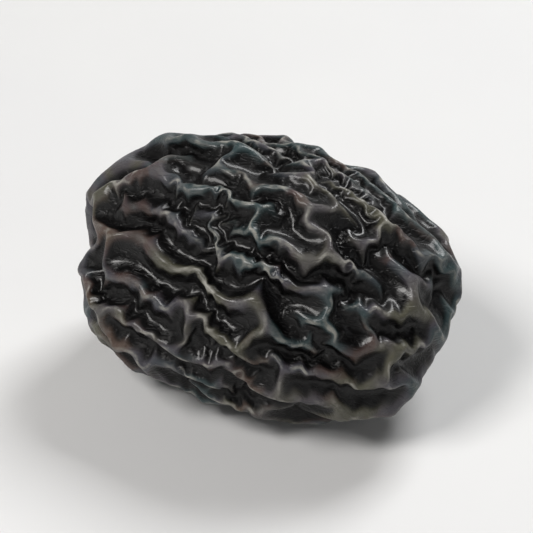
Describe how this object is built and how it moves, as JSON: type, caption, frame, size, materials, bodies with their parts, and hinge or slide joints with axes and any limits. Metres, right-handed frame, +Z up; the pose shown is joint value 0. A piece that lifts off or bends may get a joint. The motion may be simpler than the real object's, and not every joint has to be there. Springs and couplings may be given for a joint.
{
  "type": "ajwa date",
  "caption": "Whole dried ajwa date: an egg-shaped, near-black fruit with lengthwise wrinkled skin, a stem dimple at one end and a low point at the other.",
  "frame": {"origin": "on the ground under the middle of the fruit, at the bottom centre of its box", "axes": "+X from the stem end to the tip, +Z up from the spot that it rests on"},
  "size_m": [0.0302, 0.0222, 0.0198],
  "materials": {
    "date_skin": "satin"
  },
  "bodies": {
    "root": {"date": "date_skin"}
  },
  "joints": []
}
